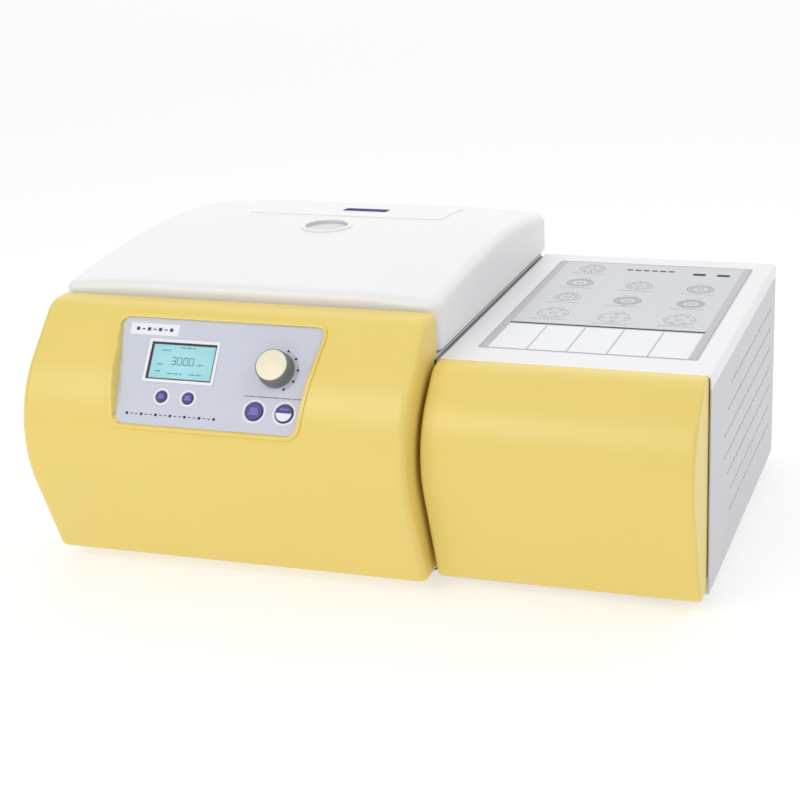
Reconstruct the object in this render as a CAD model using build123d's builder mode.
from build123d import *
from dataclasses import dataclass
from math import asin, atan2, cos, pi, radians, sin, tan
import os

os.makedirs("parts", exist_ok=True)

# A refrigerated bench-top centrifuge: the rotor unit stands on the left and the cooling unit on the right,
# on one base pan. X runs to the right, Y to the back and Z up; the origin is under the middle, on the table.

# ---------------------------------------------------------------- driving dimensions, in mm
overall_width = 690.0
overall_depth = 535.0
main_width = 417.0
cabinet_depth = 413.0
cabinet_height = 226.0
foot_height = 12.0
hood_reach = 102.5
cooling_reach = 72.5
sheet = 1.5
pan_sheet = 2.0
pan_flange = 18.0
moulding_wall = 3.0
seat_clearance = 0.3
swing_clearance = 1.5
slide_fit = 0.06

left_x = -overall_width / 2
right_x = overall_width / 2
split_x = left_x + main_width
nose_y = -overall_depth / 2
back_y = overall_depth / 2
front_y = nose_y + hood_reach
rear_y = front_y + cabinet_depth
base_z = foot_height
floor_z = base_z + pan_sheet
deck_z = base_z + cabinet_height

# the cabinet stands a screw head's height inside the left end of the front panel
side_inset = 2.0
main_left_x = left_x + side_inset

# ---------------------------------------------------------------- chamber, rotor and drive
rotor_x = left_x + main_width / 2 + 7.5
rotor_y = front_y + 230.0
mouth_radius = 136.0
bowl_depth = 124.0
bowl_wall = 1.5
bowl_flange = 12.0
foam_wall = 26.0
foam_floor = 12.0
coil_radius = 4.0
coil_turns = 8
spindle_radius = 9.0
spindle_gap = 5.0
deck_sheet = 2.0

flange_top_z = deck_z - deck_sheet
bowl_floor_z = flange_top_z - bowl_depth
foam_inner_radius = mouth_radius + bowl_wall + 2 * coil_radius + 1.5
foam_outer_radius = foam_inner_radius + foam_wall
foam_top_z = flange_top_z - bowl_wall
foam_bottom_z = bowl_floor_z - bowl_wall - foam_floor

mount_height = 20.0
bracket_sheet = 4.0
bracket_width = 180.0
motor_radius = 62.0
motor_gap = 3.0
bracket_z = floor_z + mount_height
motor_z = bracket_z + bracket_sheet
motor_top_z = foam_bottom_z - motor_gap

rotor_radius = 112.0
rotor_height = 92.0
rotor_floor_gap = 12.0
rotor_z = bowl_floor_z + rotor_floor_gap
rotor_top_z = rotor_z + rotor_height
tube_count = 6
tube_radius = 14.8
tube_depth = 76.0
tube_tilt = 30.0
tube_mouth_radius = 52.0
rim_height = 6.0
nut_radius = 15.0
nut_height = 16.0

# ---------------------------------------------------------------- lid and its hinge
lid_gap = 3.0
lid_crest_z = deck_z + 70.0
lid_crest_y = rotor_y - 5.0
lid_front_drop = 11.5
lid_back_drop = 21.0
lid_edge_radius = 11.0
shoulder_width = 77.0
shoulder_drop = 5.0
lid_wall = 3.0
hood_overhang = 8.0
lid_left_x = left_x + 1.0
lid_right_x = split_x - 1.0
lid_front_y = front_y + hood_overhang + 4.0
lid_bottom_z = deck_z + lid_gap

liner_rise = 2.0
liner_sheet = 4.0
liner_back_y = rear_y - 18.0
liner_z = lid_bottom_z + liner_rise
liner_top_z = liner_z + liner_sheet
glass_radius = 24.0
glass_ring_width = 5.0
glass_thickness = 6.0
ring_height = 9.0
ring_proud = 1.5
glass_sink = 1.0

hinge_y = rear_y + 8.0
hinge_z = deck_z + 8.0
pin_radius = 3.0
pin_fit = 0.05
knuckle_radius = 6.0
knuckle_width = 16.0
hinge_spread = 120.0
ear_width = 4.0
ear_gap = 0.5

latch_x = rotor_x
latch_y = front_y + 32.0
hook_thickness = 6.0
hook_width = 18.0
hook_reach = 37.0
hook_window_radius = 6.0
hook_window_z = deck_z - 24.0
bolt_radius = 4.0
bolt_length = 40.0
bolt_travel = 16.0

# ---------------------------------------------------------------- controls
panel_gap = 5.0
plate_top_z = deck_z + 34.5
plate_bottom_z = deck_z - 56.5
plate_top_left_x = left_x + 89.0
plate_top_right_x = split_x - 101.0
plate_bottom_left_x = left_x + 104.0
plate_bottom_right_x = split_x - 114.0
plate_thickness = 1.2
plate_sink = 0.5
plate_corner = 10.0

lcd_x = left_x + 166.0
lcd_z = deck_z - 3.0
lcd_width = 72.0
lcd_height = 40.0
lcd_frame = 3.0
lcd_proud = 1.2

knob_x = split_x - 147.0
knob_z = deck_z - 4.5
knob_radius = 17.0
knob_skirt_radius = 19.5
knob_skirt_height = 3.0
knob_height = 18.0
knob_lift = 0.6
knob_shaft_radius = 3.0

button_travel = 1.2
button_proud = 1.6
button_depth = 7.0
button_gap = 0.4
switch_radius = 3.2
board_depth = 24.0
board_thickness = 1.6

# name, distance from the rotor unit's left end, height below the deck, cap radius
buttons = [
    ("button_pulse", 152.0, 33.0, 6.0),
    ("button_menu", 181.0, 33.0, 6.0),
    ("button_start", 254.5, 39.5, 9.5),
    ("button_stop", 286.5, 39.5, 9.5),
]

# ---------------------------------------------------------------- side slots, grilles and the rear
slot_pitch_z = 23.0
slot_pitch_y = 18.0
slot_length = 13.0
slot_height = 3.4
slot_lowest_z = base_z + 44.0
slot_back_y = rear_y - 32.0
slot_starts = [106.0, 94.0, 79.0, 67.0, 73.0, 82.0, 101.0]

fan_radius = 74.0
fan_x = split_x + 128.0
fan_z = base_z + 108.0
fan_depth = 38.0
fan_tip_gap = 3.0
fan_hub_radius = 22.0
fan_blades_count = 7
grille_pitch = 12.0
grille_slot = 3.6

inlet_x = left_x + 60.0
switch_x = inlet_x + 50.0
fuse_x = switch_x + 38.0
rear_row_z = base_z + 52.0
inlet_width = 27.5
inlet_height = 20.0
inlet_depth = 17.0
inlet_flange = 6.0
rocker_width = 12.0
rocker_height = 22.0
rocker_angle = 16.0


def save(builder, name):
    """Labels one finished piece and writes it."""
    builder.part.label = name
    export_step(builder.part, f"parts/{name}.step")


def box(x0, x1, y0, y1, z0, z1, mode=Mode.ADD):
    """A box between two corners, for the builder that is open."""
    with Locations(((x0 + x1) / 2, (y0 + y1) / 2, (z0 + z1) / 2)):
        Box(x1 - x0, y1 - y0, z1 - z0, mode=mode)


def upright(x, y, z0, z1, radius, mode=Mode.ADD):
    """A standing cylinder from height z0 to z1, for the builder that is open."""
    with Locations((x, y, (z0 + z1) / 2)):
        Cylinder(radius, z1 - z0, mode=mode)


def lengthwise(y0, y1, x, z, radius, mode=Mode.ADD):
    """A cylinder along Y, for the builder that is open."""
    with Locations(Location((x, (y0 + y1) / 2, z), (90, 0, 0))):
        Cylinder(radius, y1 - y0, mode=mode)


def crosswise(x0, x1, y, z, radius, mode=Mode.ADD):
    """A cylinder along X, for the builder that is open."""
    with Locations(Location(((x0 + x1) / 2, y, z), (0, 90, 0))):
        Cylinder(radius, x1 - x0, mode=mode)


@dataclass
class Hood:
    """The side view of a bowed front panel. A turn is the angle that an arc sweeps from the nose."""

    nose_y: float
    nose_z: float
    top_z: float
    bottom_z: float
    upper_radius: float
    upper_turn: float
    lower_radius: float
    lower_turn: float
    crown_radius: float
    lip_radius: float

    def outline(self, inset, back):
        """Edges of the closed side view, set in from the outer skin and ending at Y = back."""
        with BuildLine() as line:
            upper_centre = (self.nose_y + self.upper_radius, self.nose_z)
            lower_centre = (self.nose_y + self.lower_radius, self.nose_z)
            upper = CenterArc(upper_centre, self.upper_radius - inset, 180 - self.upper_turn, self.upper_turn)
            lower = CenterArc(lower_centre, self.lower_radius - inset, 180, self.lower_turn)
            start = upper @ 0
            end = lower @ 1
            top = self.top_z - inset
            bottom = self.bottom_z + inset
            crown = (start.X + (top - start.Y) * tan(radians(self.upper_turn)), top)
            lip = (end.X + (end.Y - bottom) * tan(radians(self.lower_turn)), bottom)
            FilletPolyline(start, crown, (back, top), radius=self.crown_radius - inset)
            Line((back, top), (back, bottom))
            FilletPolyline((back, bottom), lip, end, radius=self.lip_radius - inset)
        return line.edges()

    def skin_y(self, z):
        """Y of the outer skin at a height above the nose."""
        limit = radians(self.upper_turn)
        turn = asin(min(1.0, (z - self.nose_z) / self.upper_radius))
        if turn < limit:
            return self.nose_y + self.upper_radius * (1 - cos(turn))
        arc_end_y = self.nose_y + self.upper_radius * (1 - cos(limit))
        arc_end_z = self.nose_z + self.upper_radius * sin(limit)
        return arc_end_y + (z - arc_end_z) * tan(limit)


main_hood = Hood(
    nose_y=nose_y,
    nose_z=deck_z - 80.0,
    top_z=deck_z + 44.0,
    bottom_z=base_z + 2.0,
    upper_radius=108.0,
    upper_turn=47.0,
    lower_radius=126.0,
    lower_turn=25.0,
    crown_radius=30.0,
    lip_radius=12.0,
)
cooling_hood = Hood(
    nose_y=front_y - cooling_reach,
    nose_z=deck_z - 86.0,
    top_z=deck_z,
    bottom_z=base_z + 1.0,
    upper_radius=85.0,
    upper_turn=45.0,
    lower_radius=100.0,
    lower_turn=20.0,
    crown_radius=30.0,
    lip_radius=12.0,
)
main_hood_right_x = split_x - panel_gap / 2
cooling_left_x = split_x + panel_gap / 2
cooling_hood_right_x = right_x - 2.5
hood_back_y = front_y + hood_overhang

# ---------------------------------------------------------------- base pan and feet
with BuildPart() as base_pan:
    pan = (main_left_x + sheet, right_x - sheet, front_y, rear_y - sheet)
    box(*pan, base_z, base_z + pan_flange)
    box(pan[0] + pan_sheet, pan[1] - pan_sheet, pan[2] + pan_sheet, pan[3] - pan_sheet,
        floor_z, base_z + pan_flange, mode=Mode.SUBTRACT)
save(base_pan, "base_pan")

foot_radius = 18.0
foot_inset = 55.0
foot_xs = [left_x + foot_inset, split_x - 30.0, right_x - foot_inset]
foot_ys = [front_y + foot_inset / 2, rear_y - foot_inset]
with BuildPart() as feet:
    for foot_x in foot_xs:
        for foot_y in foot_ys:
            with BuildSketch(Plane.XY) as sole:
                with Locations((foot_x, foot_y)):
                    Circle(foot_radius)
            extrude(amount=foot_height, taper=6)
save(feet, "feet")

# ---------------------------------------------------------------- rotor unit sheet metal
with BuildPart() as main_left_panel:
    box(main_left_x, main_left_x + sheet, front_y, rear_y, base_z, flange_top_z)
    for row in range(5):
        with Locations((main_left_x, rear_y - 90.0, base_z + 50.0 + row * slot_pitch_z)):
            Box(4 * sheet, 90.0, slot_height, mode=Mode.SUBTRACT)
save(main_left_panel, "main_left_panel")

line_hole_radius = 18.0
line_hole_y = rotor_y + 30.0
line_hole_z = base_z + 60.0
with BuildPart() as divider_wall:
    box(split_x - sheet, split_x, front_y + pan_sheet, rear_y - sheet - pan_sheet, floor_z, flange_top_z)
    crosswise(split_x - 10, split_x + 10, line_hole_y, line_hole_z, line_hole_radius, mode=Mode.SUBTRACT)
save(divider_wall, "divider_wall")

with BuildPart() as main_rear_panel:
    box(main_left_x + sheet, split_x - panel_gap / 2, rear_y - sheet, rear_y, base_z, flange_top_z)
    box(inlet_x - inlet_width / 2, inlet_x + inlet_width / 2, rear_y - 5, rear_y + 5,
        rear_row_z - inlet_height / 2, rear_row_z + inlet_height / 2, mode=Mode.SUBTRACT)
    box(switch_x - rocker_width / 2 - 1, switch_x + rocker_width / 2 + 1, rear_y - 5, rear_y + 5,
        rear_row_z - rocker_height / 2 - 1, rear_row_z + rocker_height / 2 + 1, mode=Mode.SUBTRACT)
    lengthwise(rear_y - 5, rear_y + 5, fuse_x, rear_row_z, 6.5, mode=Mode.SUBTRACT)
    for row in range(6):
        with Locations((split_x - 110.0, rear_y, base_z + 30.0 + row * 12.0)):
            Box(120.0, 4 * sheet, slot_height, mode=Mode.SUBTRACT)
save(main_rear_panel, "main_rear_panel")

hook_front = hook_width / 2 + 7.0
hook_rear = hook_width / 2 + 4.0
with BuildPart() as top_deck:
    box(main_left_x, split_x - panel_gap / 2, front_y, rear_y, flange_top_z, deck_z)
    upright(rotor_x, rotor_y, flange_top_z - 1, deck_z + 1, mouth_radius, mode=Mode.SUBTRACT)
    box(latch_x - hook_thickness / 2 - 2, latch_x + hook_thickness / 2 + 2, latch_y - hook_front,
        latch_y + hook_rear, flange_top_z - 1, deck_z + 1, mode=Mode.SUBTRACT)
save(top_deck, "top_deck")

# ---------------------------------------------------------------- cooling unit sheet metal
fold_radius = 4.0
cover_flange = 14.0
cooling_x0 = split_x + 0.5
with BuildPart() as cooling_top_cover:
    box(cooling_x0, right_x, front_y, rear_y, deck_z - cover_flange, deck_z)
    folds = cooling_top_cover.edges().filter_by(Axis.Y).group_by(Axis.Z)[-1]
    fillet(folds, fold_radius)
    with BuildPart(mode=Mode.PRIVATE) as cover_inside:
        box(cooling_x0 + sheet, right_x - sheet, front_y - 1, rear_y - sheet,
            deck_z - cover_flange - 1, deck_z - sheet)
        fillet(cover_inside.edges().filter_by(Axis.Y).group_by(Axis.Z)[-1], fold_radius - sheet)
    add(cover_inside.part, mode=Mode.SUBTRACT)
save(cooling_top_cover, "cooling_top_cover")

with BuildPart() as cooling_side_panel:
    box(right_x - sheet, right_x, front_y, rear_y, base_z, deck_z - cover_flange)
    for row, start in enumerate(slot_starts):
        row_z = slot_lowest_z + row * slot_pitch_z
        row_front_y = front_y + start
        count = int((slot_back_y - row_front_y) // slot_pitch_y)
        for step in range(count):
            slot_y = slot_back_y - slot_length / 2 - step * slot_pitch_y
            with BuildSketch(Plane.YZ.offset(right_x - 2 * sheet)):
                with Locations((slot_y, row_z)):
                    SlotOverall(slot_length, slot_height)
    extrude(amount=4 * sheet, mode=Mode.SUBTRACT)
save(cooling_side_panel, "cooling_side_panel")

with BuildPart() as cooling_rear_panel:
    box(split_x - panel_gap / 2, right_x - sheet, rear_y - sheet, rear_y, base_z, deck_z - cover_flange)
    grille_rows = int(2 * (fan_radius - 6) // grille_pitch)
    for row in range(grille_rows):
        offset_z = (row - (grille_rows - 1) / 2) * grille_pitch
        half = (fan_radius - 4) * cos(asin(offset_z / (fan_radius - 4)))
        left_slot = (fan_x - half / 2 - 1.5, fan_z + offset_z)
        right_slot = (fan_x + half / 2 + 1.5, fan_z + offset_z)
        with BuildSketch(Plane.XZ.offset(-rear_y - sheet)):
            with Locations(left_slot, right_slot):
                SlotOverall(half - 3, grille_slot)
    extrude(amount=4 * sheet, mode=Mode.SUBTRACT)
save(cooling_rear_panel, "cooling_rear_panel")

# ---------------------------------------------------------------- front panels
plate_mid_z = (plate_top_z + plate_bottom_z) / 2
plate_top_y = main_hood.skin_y(plate_top_z)
plate_bottom_y = main_hood.skin_y(plate_bottom_z)
plate_pitch = atan2(plate_top_z - plate_bottom_z, plate_top_y - plate_bottom_y)
plate_height = (plate_top_z - plate_bottom_z) / sin(plate_pitch)
plate_out = (0, -sin(plate_pitch), cos(plate_pitch))
chord_plane = Plane(
    origin=(0, (plate_top_y + plate_bottom_y) / 2, plate_mid_z), x_dir=(1, 0, 0), z_dir=plate_out)
plate_plane = chord_plane.offset(-plate_thickness - plate_sink)


def flat_plane(x, z):
    """A plane on the flat pocket floor under the plate, at this X and height."""
    y = plate_plane.origin.Y + (z - plate_plane.origin.Z) / tan(plate_pitch)
    return Plane(origin=(x, y, z), x_dir=(1, 0, 0), z_dir=plate_out)


def button_plane(offset_x, drop):
    """The plane of one button on the flat of the front panel."""
    return flat_plane(left_x + offset_x, deck_z - drop)


def plate_prism(grow, low, high):
    """The plate's outline, grown all round and raised from low to high over the pocket floor."""
    with BuildPart() as prism:
        with BuildSketch(plate_plane.offset(low)):
            with BuildLine():
                Polyline(
                    (plate_top_left_x - grow, plate_height / 2 + grow),
                    (plate_top_right_x + grow, plate_height / 2 + grow),
                    (plate_bottom_right_x + grow, -plate_height / 2 - grow),
                    (plate_bottom_left_x - grow, -plate_height / 2 - grow),
                    close=True,
                )
            face = make_face()
            fillet(face.vertices(), plate_corner + grow)
        extrude(amount=high - low)
    return prism.part


lcd_plane = flat_plane(lcd_x, lcd_z)
knob_plane = flat_plane(knob_x, knob_z)
cut_reach = 14.0
pocket_reach = 40.0

with BuildPart() as control_cuts:
    with BuildSketch(lcd_plane):
        Rectangle(lcd_width, lcd_height)
    extrude(amount=cut_reach, both=True)
    with BuildSketch(knob_plane):
        Circle(knob_shaft_radius + 2.0)
    extrude(amount=cut_reach, both=True)
    for _, offset_x, drop, cap_radius in buttons:
        with BuildSketch(button_plane(offset_x, drop)):
            Circle(cap_radius + button_gap)
        extrude(amount=cut_reach, both=True)

with BuildPart() as pocket_wall:
    with BuildSketch(Plane.YZ.offset(left_x)):
        make_face(main_hood.outline(0, hood_back_y))
    extrude(amount=main_hood_right_x - left_x)
    add(plate_prism(moulding_wall, -moulding_wall, pocket_reach), mode=Mode.INTERSECT)

end_radius = 8.0
with BuildPart() as main_front_panel:
    with BuildSketch(Plane.YZ.offset(left_x)):
        make_face(main_hood.outline(0, hood_back_y))
    extrude(amount=main_hood_right_x - left_x)
    ends = main_front_panel.faces().filter_by(Axis.X)
    rims = [e for e in ends.edges()
            if e.center().Y < hood_back_y - 1 and e.center().Z > main_hood.bottom_z + 1]
    fillet(rims, end_radius)
    box(left_x - 1, main_hood_right_x + 1, front_y, hood_back_y + 1, base_z - 1, deck_z, mode=Mode.SUBTRACT)
    with BuildSketch(Plane.YZ.offset(left_x + moulding_wall)):
        make_face(main_hood.outline(moulding_wall, hood_back_y - moulding_wall))
    extrude(amount=main_hood_right_x - left_x - 2 * moulding_wall, mode=Mode.SUBTRACT)
    add(pocket_wall.part)
    add(plate_prism(0, 0, pocket_reach), mode=Mode.SUBTRACT)
    add(control_cuts.part, mode=Mode.SUBTRACT)
save(main_front_panel, "main_front_panel")

cooling_end_radius = 4.0
with BuildPart() as cooling_front_panel:
    with BuildSketch(Plane.YZ.offset(cooling_left_x)):
        make_face(cooling_hood.outline(0, front_y))
    extrude(amount=cooling_hood_right_x - cooling_left_x)
    ends = cooling_front_panel.faces().filter_by(Axis.X)
    rims = [e for e in ends.edges()
            if e.center().Y < front_y - 1 and e.center().Z > cooling_hood.bottom_z + 1]
    fillet(rims, cooling_end_radius)
    with BuildSketch(Plane.YZ.offset(cooling_left_x + moulding_wall)):
        make_face(cooling_hood.outline(moulding_wall, front_y + 1))
    extrude(amount=cooling_hood_right_x - cooling_left_x - 2 * moulding_wall, mode=Mode.SUBTRACT)
save(cooling_front_panel, "cooling_front_panel")

with BuildPart() as control_plate:
    add(plate_prism(-seat_clearance, 0, plate_thickness))
    add(control_cuts.part, mode=Mode.SUBTRACT)
save(control_plate, "control_plate")

# ---------------------------------------------------------------- display and control electronics
with BuildPart() as lcd_bezel:
    with BuildSketch(lcd_plane.offset(plate_thickness)):
        RectangleRounded(lcd_width + 2 * lcd_frame, lcd_height + 2 * lcd_frame, 2.0)
        Rectangle(lcd_width, lcd_height, mode=Mode.SUBTRACT)
    extrude(amount=lcd_proud)
save(lcd_bezel, "lcd_bezel")

lcd_glass_thickness = 3.0
with BuildPart() as lcd_glass:
    with BuildSketch(lcd_plane.offset(plate_thickness - lcd_glass_thickness)):
        Rectangle(lcd_width - 2 * seat_clearance, lcd_height - 2 * seat_clearance)
    extrude(amount=lcd_glass_thickness)
save(lcd_glass, "lcd_glass")

board_plane = plate_plane.offset(-board_depth)
board_centre_x = (plate_top_left_x + plate_top_right_x) / 2
with BuildPart() as control_board:
    with BuildSketch(board_plane):
        with Locations((board_centre_x, -4.0)):
            RectangleRounded(plate_top_right_x - plate_top_left_x - 30, plate_height - 22, 3.0)
    extrude(amount=-board_thickness)
save(control_board, "control_board")

with BuildPart() as lcd_module:
    with BuildSketch(lcd_plane.offset(plate_thickness - lcd_glass_thickness - seat_clearance)):
        Rectangle(lcd_width - 4, lcd_height - 4)
    extrude(amount=-2 * board_depth)
    split(bisect_by=board_plane, keep=Keep.TOP)
save(lcd_module, "lcd_module")

shaft_tip = 13.0
with BuildPart() as switches_and_encoder:
    for _, offset_x, drop, _ in buttons:
        with BuildSketch(button_plane(offset_x, drop).offset(-button_depth - button_travel - seat_clearance)):
            Circle(switch_radius)
        extrude(amount=-2 * board_depth)
    with BuildSketch(knob_plane.offset(-moulding_wall - 2.0)):
        RectangleRounded(13.0, 13.0, 1.0)
        Circle(knob_shaft_radius + slide_fit, mode=Mode.SUBTRACT)
    extrude(amount=-shaft_tip + moulding_wall + 1.0)
    with BuildSketch(knob_plane.offset(-shaft_tip - 1.0)):
        RectangleRounded(13.0, 13.0, 1.0)
    extrude(amount=-2 * board_depth)
    split(bisect_by=board_plane, keep=Keep.TOP)
save(switches_and_encoder, "switches_and_encoder")

# ---------------------------------------------------------------- knob and buttons
knob_base = plate_thickness + knob_lift
with BuildPart() as knob_skirt:
    with BuildSketch(knob_plane.offset(knob_base)):
        Circle(knob_skirt_radius)
    extrude(amount=knob_skirt_height, taper=12)
    with BuildSketch(knob_plane.offset(knob_base)):
        Circle(knob_shaft_radius)
    extrude(amount=-shaft_tip - knob_base)
save(knob_skirt, "knob_skirt")

with BuildPart() as knob_cap:
    with BuildSketch(knob_plane.offset(knob_base + knob_skirt_height)):
        Circle(knob_radius)
    extrude(amount=knob_height - knob_skirt_height - knob_base, taper=3)
    fillet(knob_cap.edges().sort_by(lambda edge: knob_plane.to_local_coords(edge.center()).Z)[-1], 2.0)
save(knob_cap, "knob_cap")

for name, offset_x, drop, cap_radius in buttons:
    cap_plane = button_plane(offset_x, drop)
    with BuildPart() as button:
        with BuildSketch(cap_plane.offset(-button_depth)):
            Circle(cap_radius)
        extrude(amount=button_depth + plate_thickness + button_proud)
        crown = button.edges().sort_by(lambda edge: cap_plane.to_local_coords(edge.center()).Z)[-1]
        fillet(crown, 0.8)
    save(button, name)

# ---------------------------------------------------------------- chamber
with BuildPart() as chamber_bowl:
    with BuildSketch(Plane.XZ.offset(-rotor_y)):
        with BuildLine():
            Polyline(
                (rotor_x + spindle_radius + spindle_gap, bowl_floor_z),
                (rotor_x + mouth_radius, bowl_floor_z),
                (rotor_x + mouth_radius, flange_top_z),
                (rotor_x + mouth_radius + bowl_flange, flange_top_z),
                (rotor_x + mouth_radius + bowl_flange, foam_top_z),
                (rotor_x + mouth_radius + bowl_wall, foam_top_z),
                (rotor_x + mouth_radius + bowl_wall, bowl_floor_z - bowl_wall),
                (rotor_x + spindle_radius + spindle_gap, bowl_floor_z - bowl_wall),
                close=True,
            )
        make_face()
    revolve(axis=Axis((rotor_x, rotor_y, 0), (0, 0, 1)))
save(chamber_bowl, "chamber_bowl")

line_radius = 4.0
suction_y = rotor_y + 8.0
suction_z = bowl_floor_z + 2 * coil_radius
with BuildPart() as chamber_insulation:
    upright(rotor_x, rotor_y, foam_bottom_z, foam_top_z, foam_outer_radius)
    upright(rotor_x, rotor_y, foam_bottom_z + foam_floor, foam_top_z + 1, foam_inner_radius,
            mode=Mode.SUBTRACT)
    upright(rotor_x, rotor_y, foam_bottom_z - 1, foam_top_z, spindle_radius + spindle_gap, mode=Mode.SUBTRACT)
    crosswise(rotor_x + mouth_radius, rotor_x + foam_outer_radius + 5, suction_y, suction_z, line_radius + 2,
              mode=Mode.SUBTRACT)
save(chamber_insulation, "chamber_insulation")

coil_ring_radius = mouth_radius + bowl_wall + coil_radius + seat_clearance
coil_pitch = (bowl_depth - 4 * coil_radius) / coil_turns
with BuildPart() as evaporator_coil:
    for turn in range(coil_turns):
        ring_z = bowl_floor_z + 2 * coil_radius + turn * coil_pitch
        with Locations((rotor_x, rotor_y, ring_z)):
            Torus(coil_ring_radius, coil_radius)
    upright(rotor_x + coil_ring_radius, rotor_y, bowl_floor_z + 2 * coil_radius,
            bowl_floor_z + 2 * coil_radius + (coil_turns - 1) * coil_pitch, coil_radius * 0.9)
save(evaporator_coil, "evaporator_coil")

gasket_width = 8.0
with BuildPart() as chamber_gasket:
    gasket_top_z = liner_z - seat_clearance
    upright(rotor_x, rotor_y, deck_z, gasket_top_z, mouth_radius + gasket_width)
    upright(rotor_x, rotor_y, deck_z - 1, gasket_top_z + 1, mouth_radius, mode=Mode.SUBTRACT)
    fillet(chamber_gasket.edges().group_by(Axis.Z)[-1], 1.5)
save(chamber_gasket, "chamber_gasket")

# ---------------------------------------------------------------- drive motor
with BuildPart() as motor_bracket:
    with BuildSketch(Plane.XY.offset(bracket_z)):
        with Locations((rotor_x, rotor_y)):
            RectangleRounded(bracket_width, bracket_width, 18.0)
            Circle(spindle_radius + 4.0, mode=Mode.SUBTRACT)
    extrude(amount=bracket_sheet)
save(motor_bracket, "motor_bracket")

bearing_gap = 0.08
with BuildPart() as motor_housing:
    upright(rotor_x, rotor_y, motor_z, motor_top_z, motor_radius)
    fillet(motor_housing.edges().group_by(Axis.Z)[-1], 5.0)
    for fin in range(24):
        angle = 2 * pi * fin / 24
        upright(rotor_x + motor_radius * cos(angle), rotor_y + motor_radius * sin(angle),
                motor_z - 1, motor_top_z + 1, 2.5, mode=Mode.SUBTRACT)
    upright(rotor_x, rotor_y, motor_z - 1, motor_top_z + 1, spindle_radius + bearing_gap, mode=Mode.SUBTRACT)
save(motor_housing, "motor_housing")

# ---------------------------------------------------------------- rotor
hub_radius = 20.0
with BuildPart() as spindle:
    upright(rotor_x, rotor_y, bracket_z - 6, rotor_top_z - rim_height + 2, spindle_radius)
save(spindle, "spindle")

rotor_axis = Axis((rotor_x, rotor_y, 0), (0, 0, 1))
with BuildPart() as rotor:
    with BuildSketch(Plane.XZ.offset(-rotor_y)):
        with BuildLine():
            Polyline(
                (rotor_x, rotor_z),
                (rotor_x + rotor_radius - 18, rotor_z),
                (rotor_x + rotor_radius, rotor_z + 16),
                (rotor_x + rotor_radius, rotor_z + 34),
                (rotor_x + rotor_radius - 26, rotor_top_z),
                (rotor_x + rotor_radius - 32, rotor_top_z),
                (rotor_x + rotor_radius - 38, rotor_top_z - rim_height),
                (rotor_x, rotor_top_z - rim_height),
                close=True,
            )
        make_face()
    revolve(axis=rotor_axis)
    upright(rotor_x, rotor_y, rotor_z - 1, rotor_top_z + 1, spindle_radius, mode=Mode.SUBTRACT)
    with BuildSketch(Plane.XZ.offset(-rotor_y)):
        with BuildLine():
            Polyline(
                (rotor_x + hub_radius, rotor_z),
                (rotor_x + hub_radius, rotor_z + 46),
                (rotor_x + hub_radius + 12, rotor_z + 46),
                (rotor_x + hub_radius + 40, rotor_z),
                close=True,
            )
        make_face()
    revolve(axis=rotor_axis, mode=Mode.SUBTRACT)
    for place in range(tube_count):
        angle = 360.0 * place / tube_count + 30.0
        outward = (cos(radians(angle)), sin(radians(angle)), 0)
        tilt = radians(tube_tilt)
        axis_up = (-outward[0] * sin(tilt), -outward[1] * sin(tilt), cos(tilt))
        mouth = (rotor_x + tube_mouth_radius * outward[0], rotor_y + tube_mouth_radius * outward[1],
                 rotor_top_z - rim_height)
        with BuildSketch(Plane(origin=mouth, z_dir=axis_up)):
            Circle(tube_radius)
        extrude(amount=-tube_depth, mode=Mode.SUBTRACT)
        with BuildSketch(Plane(origin=mouth, z_dir=axis_up)):
            Circle(tube_radius)
        extrude(amount=24, mode=Mode.SUBTRACT)
save(rotor, "rotor")

with BuildPart() as rotor_nut:
    nut_z = rotor_top_z - rim_height
    upright(rotor_x, rotor_y, nut_z + 2, nut_z + nut_height, nut_radius)
    upright(rotor_x, rotor_y, nut_z, nut_z + 2, nut_radius + 4)
    fillet(rotor_nut.edges().group_by(Axis.Z)[-1], 2.0)
    upright(rotor_x, rotor_y, nut_z - 1, nut_z + 2, spindle_radius, mode=Mode.SUBTRACT)
save(rotor_nut, "rotor_nut")

# ---------------------------------------------------------------- lid
lid_front_top_z = lid_crest_z - lid_front_drop
lid_back_top_z = lid_crest_z - lid_back_drop


def lid_profile(inset):
    """Edges of the lid's closed side view: a long crown between two rounded ends."""
    with BuildLine() as line:
        front = lid_front_y + inset
        back = back_y - inset
        crest = (lid_crest_y, lid_crest_z - inset)
        TangentArc(crest, (front, lid_front_top_z - inset), tangent=(-1, 0))
        TangentArc(crest, (back, lid_back_top_z - inset), tangent=(1, 0))
        Polyline((front, lid_front_top_z - inset), (front, lid_bottom_z - 2 * shoulder_drop),
                 (back, lid_bottom_z - 2 * shoulder_drop), (back, lid_back_top_z - inset))
    return line.edges()


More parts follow.
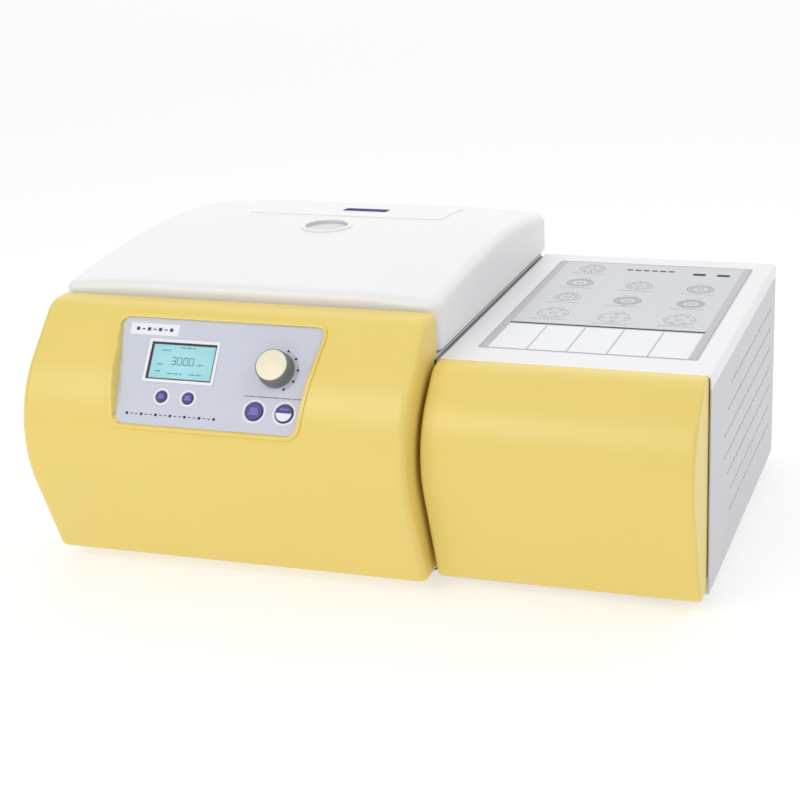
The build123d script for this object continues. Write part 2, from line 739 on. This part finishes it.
def lid_block(inset, radius):
    """The lid as a solid: a level middle and two shoulders that fall gently to the sides."""
    x0 = lid_left_x + inset
    x1 = lid_right_x - inset
    fall = (shoulder_width, 0, -shoulder_drop)
    run = Vector(*fall).length
    with BuildPart() as block:
        with BuildSketch(Plane.YZ.offset(x0 + shoulder_width)) as left_view:
            make_face(lid_profile(inset))
        extrude(amount=x1 - x0 - 2 * shoulder_width)
        extrude(left_view.sketch, amount=run, dir=(-fall[0], 0, fall[2]))
        with BuildSketch(Plane.YZ.offset(x1 - shoulder_width)) as right_view:
            make_face(lid_profile(inset))
        extrude(right_view.sketch, amount=run, dir=fall)
        upper = [e for e in block.edges() if abs(e.center().X - (x0 + x1) / 2) > (x1 - x0) / 2 - 1
                 or (e.center().Z > lid_bottom_z + 20 and (abs(e.center().Y - lid_front_y - inset) < 1
                                                           or abs(e.center().Y - back_y + inset) < 1))]
        upper = [e for e in upper if e.center().Z > lid_bottom_z - shoulder_drop]
        fillet(upper, radius)
        box(x0 - 1, x1 + 1, lid_front_y - 1, back_y + 1, lid_bottom_z - 60, lid_bottom_z, mode=Mode.SUBTRACT)
    return block.part


strip_width = 233.0
strip_front_y = rotor_y + 55.0
strip_back_y = rotor_y + 140.0
with BuildPart() as lid_shell:
    add(lid_block(0, lid_edge_radius))
    add(lid_block(lid_wall, lid_edge_radius - lid_wall), mode=Mode.SUBTRACT)
    upright(rotor_x, rotor_y, lid_bottom_z, lid_crest_z + 5, glass_radius + glass_ring_width,
            mode=Mode.SUBTRACT)
save(lid_shell, "lid_shell")

liner_gap = 0.2
rib_height = 8.0
with BuildPart() as lid_liner:
    box(lid_left_x + lid_wall + liner_gap, lid_right_x - lid_wall - liner_gap,
        lid_front_y + lid_wall + liner_gap, liner_back_y, liner_z, liner_top_z)
    fillet(lid_liner.edges().filter_by(Axis.Z), lid_edge_radius)
    upright(rotor_x, rotor_y, liner_z, lid_crest_z - ring_height, glass_radius + 3)
    upright(rotor_x, rotor_y, liner_z - 1, lid_crest_z, glass_radius, mode=Mode.SUBTRACT)
    for rib_y in (rotor_y - 150.0, rotor_y + 110.0):
        box(lid_left_x + 40, lid_right_x - 40, rib_y - 2, rib_y + 2, liner_top_z, liner_top_z + rib_height)
save(lid_liner, "lid_liner")

with BuildPart() as sight_glass_ring:
    upright(rotor_x, rotor_y, lid_crest_z - ring_height, lid_crest_z + ring_proud,
            glass_radius + glass_ring_width)
    fillet(sight_glass_ring.edges().group_by(Axis.Z)[-1], 0.7)
    upright(rotor_x, rotor_y, lid_crest_z - ring_height - 1, lid_crest_z + 5, glass_radius,
            mode=Mode.SUBTRACT)
save(sight_glass_ring, "sight_glass_ring")

with BuildPart() as sight_glass:
    glass_top_z = lid_crest_z - glass_sink
    upright(rotor_x, rotor_y, glass_top_z - glass_thickness, glass_top_z, glass_radius)
save(sight_glass, "sight_glass")


def lid_skin(x0, x1, y0, y1, thickness):
    """A sheet that lies on the level middle of the lid's crown between two corners."""
    with BuildPart() as skin:
        with BuildSketch(Plane.YZ.offset(x0)):
            make_face(lid_profile(-thickness))
            make_face(lid_profile(0), mode=Mode.SUBTRACT)
        extrude(amount=x1 - x0)
        box(x0, x1, y0, y1, lid_bottom_z + 20, lid_crest_z + 5, mode=Mode.INTERSECT)
    return skin.part


strip_proud = 0.8
with BuildPart() as lid_rear_strip:
    add(lid_skin(rotor_x - strip_width / 2, rotor_x + strip_width / 2, strip_front_y, strip_back_y,
                 strip_proud))
save(lid_rear_strip, "lid_rear_strip")

bar_width = 52.0
bar_depth = 16.0
bar_proud = 0.6
bar_x = rotor_x + 12.0
bar_y = (strip_front_y + strip_back_y) / 2
with BuildPart() as lid_blue_bar:
    add(lid_skin(bar_x - bar_width / 2, bar_x + bar_width / 2, bar_y - bar_depth / 2, bar_y + bar_depth / 2,
                 strip_proud + bar_proud))
    add(lid_skin(bar_x - bar_width, bar_x + bar_width, bar_y - bar_depth, bar_y + bar_depth, strip_proud),
        mode=Mode.SUBTRACT)
save(lid_blue_bar, "lid_blue_bar")

# ---------------------------------------------------------------- hinge
hinge_xs = (rotor_x - hinge_spread, rotor_x + hinge_spread)
with BuildPart() as hinge_brackets:
    for hinge_x in hinge_xs:
        half = knuckle_width / 2
        box(hinge_x - half - 8, hinge_x + half + 8, rear_y - 14, rear_y, deck_z, deck_z + 3)
        crosswise(hinge_x - half, hinge_x + half, hinge_y, hinge_z, knuckle_radius)
        box(hinge_x - half, hinge_x + half, rear_y - 8, hinge_y, deck_z + 3, hinge_z + 2)
        crosswise(hinge_x - half - 1, hinge_x + half + 1, hinge_y, hinge_z, pin_radius + pin_fit,
                  mode=Mode.SUBTRACT)
save(hinge_brackets, "hinge_brackets")

pin_overhang = 6.0
pin_half = hinge_spread + knuckle_width / 2 + ear_gap + ear_width + pin_overhang
with BuildPart() as hinge_pin:
    crosswise(rotor_x - pin_half, rotor_x + pin_half, hinge_y, hinge_z, pin_radius)
save(hinge_pin, "hinge_pin")

ear_front_y = liner_back_y - 40.0
with BuildPart() as hinge_leaves:
    for hinge_x in hinge_xs:
        inner = knuckle_width / 2 + ear_gap
        outer = inner + ear_width
        for side in (-1, 1):
            near, far = sorted((hinge_x + side * inner, hinge_x + side * outer))
            crosswise(near, far, hinge_y, hinge_z, knuckle_radius)
            box(near, far, ear_front_y, hinge_y, hinge_z + 1, hinge_z + knuckle_radius + 4)
            crosswise(near - 1, far + 1, hinge_y, hinge_z, pin_radius, mode=Mode.SUBTRACT)
        box(hinge_x - outer, hinge_x + outer, ear_front_y, liner_back_y - 2, liner_top_z, liner_top_z + 3)
save(hinge_leaves, "hinge_leaves")

spring_wire = 1.0
spring_turns = 9
spring_radius = pin_radius + 0.6 + spring_wire
spring_pitch = 2 * spring_wire + 0.2
leg_y = rear_y - 6.0
with BuildPart() as lid_springs:
    for hinge_x in hinge_xs:
        inward = -1 if hinge_x > rotor_x else 1
        spring_x = hinge_x + inward * (knuckle_width / 2 + ear_gap + ear_width + 3)
        for turn in range(spring_turns):
            with Locations(Location((spring_x + inward * turn * spring_pitch, hinge_y, hinge_z), (0, 90, 0))):
                Torus(spring_radius, spring_wire)
        leg_x = spring_x + inward * spring_turns * spring_pitch
        with BuildLine() as leg:
            FilletPolyline((leg_x, leg_y, deck_z), (leg_x, leg_y, hinge_z + spring_radius),
                           (leg_x, hinge_y, hinge_z + spring_radius), radius=2.0)
        with BuildSketch(Plane(origin=leg.line @ 0, z_dir=leg.line % 0)):
            Circle(spring_wire)
        sweep(path=leg.line)
save(lid_springs, "lid_springs")

# ---------------------------------------------------------------- lid lock
with BuildPart() as latch_hook:
    box(latch_x - hook_thickness / 2, latch_x + hook_thickness / 2, latch_y - hook_width / 2,
        latch_y + hook_width / 2, liner_z - hook_reach, liner_z)
    box(latch_x - 14, latch_x + 14, latch_y - hook_width / 2, latch_y + hook_width / 2, liner_z - 3, liner_z)
    crosswise(latch_x - 10, latch_x + 10, latch_y, hook_window_z, hook_window_radius, mode=Mode.SUBTRACT)
save(latch_hook, "latch_hook")

bolt_tip_gap = 4.5
bolt_x = latch_x + hook_thickness / 2 + bolt_tip_gap
lock_half = 32.0
lock_front = latch_y - hook_front - 8.0
lock_back = latch_y + hook_rear + 8.0
lock_bottom_z = liner_z - hook_reach - 16.0
with BuildPart() as latch_housing:
    box(latch_x - lock_half, latch_x + lock_half, lock_front, lock_back, lock_bottom_z, flange_top_z)
    box(latch_x - hook_thickness / 2 - swing_clearance, latch_x + hook_thickness / 2 + swing_clearance,
        latch_y - hook_front, latch_y + hook_rear, liner_z - hook_reach - 6, flange_top_z + 1,
        mode=Mode.SUBTRACT)
    crosswise(bolt_x - bolt_travel - 2, latch_x + lock_half + 1, latch_y, hook_window_z,
              bolt_radius + slide_fit, mode=Mode.SUBTRACT)
save(latch_housing, "latch_housing")

with BuildPart() as latch_bolt:
    crosswise(bolt_x, bolt_x + bolt_length, latch_y, hook_window_z, bolt_radius)
    chamfer(latch_bolt.edges().filter_by(GeomType.CIRCLE).sort_by(Axis.X)[0], 1.0)
save(latch_bolt, "latch_bolt")

# ---------------------------------------------------------------- rotor unit electronics
with BuildPart() as motor_drive:
    box(main_left_x + 12, main_left_x + 82, front_y + 12, front_y + 72, floor_z, floor_z + 120)
    for fin in range(9):
        fin_x = main_left_x + 18 + fin * 7.0
        box(fin_x, fin_x + 4, front_y + 8, front_y + 30, floor_z + 10, floor_z + 122, mode=Mode.SUBTRACT)
save(motor_drive, "motor_drive")

# ---------------------------------------------------------------- rear connections
inlet_wall = 2.5
with BuildPart() as mains_inlet:
    half_w = inlet_width / 2
    half_h = inlet_height / 2
    box(inlet_x - half_w, inlet_x + half_w, rear_y - inlet_depth - 6, rear_y,
        rear_row_z - half_h, rear_row_z + half_h)
    box(inlet_x - half_w - inlet_flange, inlet_x + half_w + inlet_flange, rear_y, rear_y + 2.5,
        rear_row_z - half_h - 4, rear_row_z + half_h + 4)
    fillet(mains_inlet.edges().filter_by(Axis.Y).group_by(Axis.Y)[-1], 3.0)
    box(inlet_x - half_w + inlet_wall, inlet_x + half_w - inlet_wall, rear_y - inlet_depth, rear_y + 4,
        rear_row_z - half_h + inlet_wall, rear_row_z + half_h - inlet_wall, mode=Mode.SUBTRACT)
save(mains_inlet, "mains_inlet")

pin_length = 10.0
with BuildPart() as inlet_pins:
    for pin_x, pin_z in ((-7.0, -2.0), (7.0, -2.0), (0.0, 3.5)):
        box(inlet_x + pin_x - 1, inlet_x + pin_x + 1, rear_y - inlet_depth, rear_y - inlet_depth + pin_length,
            rear_row_z + pin_z - 2, rear_row_z + pin_z + 2)
save(inlet_pins, "inlet_pins")

with BuildPart() as power_switch_housing:
    half_w = rocker_width / 2 + 1
    half_h = rocker_height / 2 + 1
    box(switch_x - half_w, switch_x + half_w, rear_y - 22, rear_y, rear_row_z - half_h, rear_row_z + half_h)
    box(switch_x - half_w - 2, switch_x + half_w + 2, rear_y, rear_y + 1.6, rear_row_z - half_h - 2,
        rear_row_z + half_h + 2)
    box(switch_x - half_w + 0.6, switch_x + half_w - 0.6, rear_y - 14, rear_y + 3, rear_row_z - half_h + 0.6,
        rear_row_z + half_h - 0.6, mode=Mode.SUBTRACT)
save(power_switch_housing, "power_switch_housing")

rocker_pivot_y = rear_y - 4.0
with BuildPart() as power_rocker:
    half_w = rocker_width / 2 - seat_clearance
    half_h = rocker_height / 2 - 1
    tilt = radians(rocker_angle / 2)
    side_view = Plane(
        origin=(switch_x - half_w, rocker_pivot_y, rear_row_z),
        x_dir=(0, cos(tilt), -sin(tilt)),
        z_dir=(1, 0, 0),
    )
    with BuildSketch(side_view):
        with BuildLine():
            Polyline((-4, 0), (1.5, -half_h), (4.2, -half_h), (2.8, 0), (4.2, half_h), (1.5, half_h),
                     close=True)
        make_face()
    extrude(amount=2 * half_w)
    crosswise(switch_x - half_w - 0.5, switch_x + half_w + 0.5, rocker_pivot_y, rear_row_z, 1.5)
save(power_rocker, "power_rocker")

with BuildPart() as fuse_holder:
    lengthwise(rear_y - 26, rear_y, fuse_x, rear_row_z, 6.2)
    lengthwise(rear_y, rear_y + 5, fuse_x, rear_row_z, 8.5)
    fillet(fuse_holder.edges().group_by(Axis.Y)[-1], 1.0)
    box(fuse_x - 6, fuse_x + 6, rear_y + 3.8, rear_y + 6, rear_row_z - 0.8, rear_row_z + 0.8,
        mode=Mode.SUBTRACT)
save(fuse_holder, "fuse_holder")

# ---------------------------------------------------------------- refrigeration
compressor_x = split_x + 95.0
compressor_y = front_y + 150.0
compressor_radius = 62.0
compressor_z = floor_z + 14.0
compressor_height = 150.0
with BuildPart() as compressor:
    upright(compressor_x, compressor_y, compressor_z, compressor_z + compressor_height, compressor_radius)
    fillet(compressor.edges().filter_by(GeomType.CIRCLE), 22.0)
    upright(compressor_x, compressor_y, compressor_z + 62, compressor_z + 66, compressor_radius + 3)
    box(compressor_x - 60, compressor_x + 60, compressor_y - 60, compressor_y + 60,
        compressor_z - 2, compressor_z + 1)
save(compressor, "compressor")

with BuildPart() as rubber_mounts:
    with Locations((rotor_x, rotor_y, floor_z + mount_height / 2)):
        with GridLocations(bracket_width - 40, bracket_width - 40, 2, 2):
            Cylinder(15.0, mount_height)
    with Locations((compressor_x, compressor_y, (floor_z + compressor_z - 2) / 2)):
        with GridLocations(100, 100, 2, 2):
            Cylinder(9.0, compressor_z - 2 - floor_z)
save(rubber_mounts, "rubber_mounts")

condenser_front_y = front_y + 40.0
condenser_back_y = rear_y - 70.0
condenser_depth = 36.0
condenser_x1 = right_x - sheet - 8.0
condenser_height = 180.0
fin_count = 26
with BuildPart() as condenser:
    x0 = condenser_x1 - condenser_depth
    top = floor_z + condenser_height
    box(x0, condenser_x1, condenser_front_y, condenser_front_y + 2, floor_z, top)
    box(x0, condenser_x1, condenser_back_y - 2, condenser_back_y, floor_z, top)
    for fin in range(fin_count):
        fin_y = condenser_front_y + (fin + 1) * (condenser_back_y - condenser_front_y) / (fin_count + 1)
        box(x0 + 2, condenser_x1 - 2, fin_y - 0.4, fin_y + 0.4, floor_z + 6, top - 2)
    for column in (0.3, 0.7):
        for row in range(6):
            lengthwise(condenser_front_y - 4, condenser_back_y + 4, x0 + column * condenser_depth,
                       floor_z + 22 + row * 27, 4.0)
save(condenser, "condenser")

shroud_half = fan_radius + 6.0
fan_back_y = rear_y - sheet
fan_front_y = fan_back_y - fan_depth
with BuildPart() as fan_shroud:
    box(fan_x - shroud_half, fan_x + shroud_half, fan_front_y, fan_back_y,
        fan_z - shroud_half, fan_z + shroud_half)
    fillet(fan_shroud.edges().filter_by(Axis.Y), 8.0)
    lengthwise(fan_front_y - 1, fan_back_y + 1, fan_x, fan_z, fan_radius, mode=Mode.SUBTRACT)
    box(fan_x - fan_radius - 2, fan_x + fan_radius + 2, fan_front_y, fan_front_y + 4, fan_z - 5, fan_z + 5)
    box(fan_x - 5, fan_x + 5, fan_front_y, fan_front_y + 4, fan_z - fan_radius - 2, fan_z + fan_radius + 2)
save(fan_shroud, "fan_shroud")

motor_back_y = fan_front_y + 18.0
with BuildPart() as fan_motor:
    lengthwise(fan_front_y + 4, motor_back_y, fan_x, fan_z, fan_hub_radius - 2)
    lengthwise(motor_back_y, motor_back_y + 12, fan_x, fan_z, 3.0)
save(fan_motor, "fan_motor")

blade_length = fan_radius - fan_tip_gap - fan_hub_radius + 4
blade_radius = fan_hub_radius - 2 + blade_length / 2
blade_y = motor_back_y + 7.5
blade_pitch = 25.0
with BuildPart() as fan_blades:
    lengthwise(motor_back_y + 1, motor_back_y + 14, fan_x, fan_z, fan_hub_radius)
    lengthwise(motor_back_y, motor_back_y + 15, fan_x, fan_z, 3.0 + bearing_gap, mode=Mode.SUBTRACT)
    for blade in range(fan_blades_count):
        angle = 360.0 * blade / fan_blades_count
        blade_x = fan_x + blade_radius * cos(radians(angle))
        blade_z = fan_z + blade_radius * sin(radians(angle))
        blade_seat = Location((blade_x, blade_y, blade_z), (0, -angle, 0))
        with Locations(blade_seat * Location((0, 0, 0), (blade_pitch, 0, 0))):
            Box(blade_length, 2.0, 26.0)
    lengthwise(motor_back_y, motor_back_y + 15, fan_x, fan_z, 3.0 + bearing_gap, mode=Mode.SUBTRACT)
    lengthwise(fan_front_y, fan_back_y, fan_x, fan_z, fan_radius - fan_tip_gap, mode=Mode.INTERSECT)
save(fan_blades, "fan_blades")

drier_x = split_x + 40.0
drier_y = rear_y - 90.0
drier_radius = 12.0
bend_radius = 14.0
drop_x = rotor_x + foam_outer_radius + 12.0
with BuildPart() as refrigerant_lines:
    upright(drier_x, drier_y, floor_z + 30, floor_z + 110, drier_radius)
    fillet(refrigerant_lines.edges().filter_by(GeomType.CIRCLE), 5.0)
    upright(drier_x, drier_y, floor_z + 18, floor_z + 122, 3.0)
    routes = [
        [(compressor_x, compressor_y + 30, compressor_z + compressor_height),
         (compressor_x, compressor_y + 30, deck_z - 30),
         (condenser_x1 - condenser_depth / 2, compressor_y + 30, deck_z - 30),
         (condenser_x1 - condenser_depth / 2, compressor_y + 30, floor_z + condenser_height - 4)],
        [(rotor_x + coil_ring_radius + coil_radius, suction_y, suction_z),
         (drop_x, suction_y, suction_z),
         (drop_x, line_hole_y, line_hole_z),
         (drier_x, line_hole_y, line_hole_z),
         (drier_x, drier_y - drier_radius, line_hole_z)],
    ]
    for route in routes:
        with BuildLine() as path:
            FilletPolyline(*route, radius=bend_radius)
        with BuildSketch(Plane(origin=path.line @ 0, z_dir=path.line % 0)):
            Circle(line_radius)
        sweep(path=path.line)
save(refrigerant_lines, "refrigerant_lines")

# ---------------------------------------------------------------- chart label and fasteners
label_thickness = 0.4
label_x0 = split_x + 29.0
label_x1 = right_x - 21.0
label_y0 = front_y + 43.0
label_y1 = rear_y - 28.0
with BuildPart() as rotor_chart_label:
    box(label_x0, label_x1, label_y0, label_y1, deck_z, deck_z + label_thickness)
    fillet(rotor_chart_label.edges().filter_by(Axis.Z), 3.0)
save(rotor_chart_label, "rotor_chart_label")

screw_radius = 3.5
head_height = 1.8
with BuildPart() as cover_screws:
    for screw_x in (left_x + 20, left_x + 150, split_x - 20, split_x + 14, fan_x, right_x - 20):
        for screw_z in (base_z + 10, deck_z - cover_flange - 8):
            lengthwise(rear_y, rear_y + head_height, screw_x, screw_z, screw_radius)
    for screw_y in (front_y + 25, rotor_y - 30, rear_y - 25):
        for screw_z in (base_z + 10, deck_z - cover_flange):
            crosswise(main_left_x - head_height, main_left_x, screw_y, screw_z, screw_radius)
save(cover_screws, "cover_screws")
